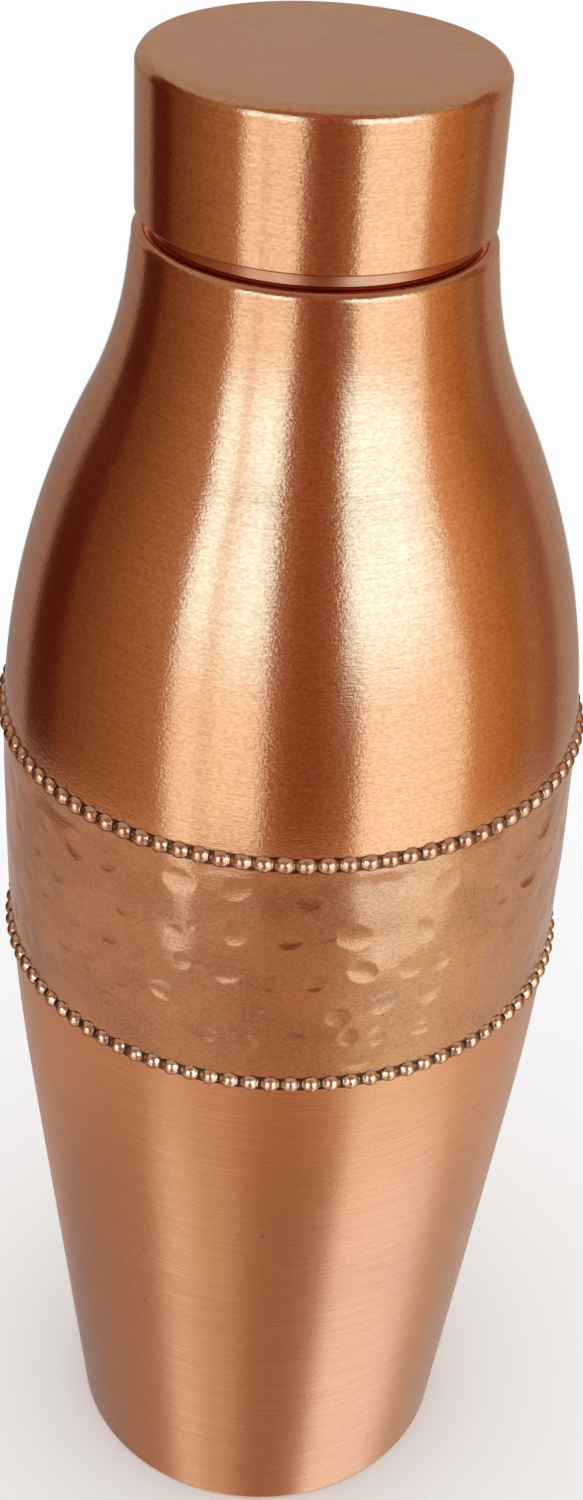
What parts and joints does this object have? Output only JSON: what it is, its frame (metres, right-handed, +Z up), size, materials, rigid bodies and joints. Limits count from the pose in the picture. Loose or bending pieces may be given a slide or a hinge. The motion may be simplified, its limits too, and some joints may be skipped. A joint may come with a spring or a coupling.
{
  "type": "water bottle",
  "caption": "Tapered copper water bottle with a hammered belly band between two rows of beads, a smooth shoulder, and a deep flat-topped screw cap.",
  "frame": {"origin": "centre of the foot, on the plane that the bottle stands on", "axes": "+Z up along the bottle's axis towards the cap; -Y is the side seen in the reference view, +X to its right"},
  "size_m": [0.0882, 0.0882, 0.246],
  "materials": {
    "copper_bright": "copper, fine brushed around the axis under clear lacquer",
    "copper_satin": "copper, satin brushed around the axis",
    "copper_hammered": "copper, hammered with small round dimples, dull",
    "copper_beads": "copper, beaded wire with dark oxide in the hollows",
    "copper_turned": "copper, turned",
    "silicone_white": "translucent white silicone"
  },
  "bodies": {
    "bottle": {"lower_body": "copper_satin", "base_plate": "copper_satin", "hammered_band": "copper_hammered", "upper_body": "copper_bright", "neck_ring": "copper_turned", "lower_bead_wire": "copper_beads", "upper_bead_wire": "copper_beads"},
    "seal": {"sealing_washer": "silicone_white"},
    "cap": {"cap_shell": "copper_bright", "cap_thread_ring": "copper_turned"}
  },
  "joints": [
    {"name": "cap_rise", "type": "slide", "parent": "bottle", "child": "seal", "axis": [0, 0, 1], "range_m": [0, 0.024]},
    {"name": "cap_turn", "type": "hinge", "parent": "seal", "child": "cap", "pos_m": [0, 0, 0.2355], "axis": [0, 0, 1], "range_deg": [0, 2160]}
  ],
  "couplings": [
    {"joint": "cap_rise", "follows": "cap_turn", "m_per_rad": 0.00063662}
  ]
}
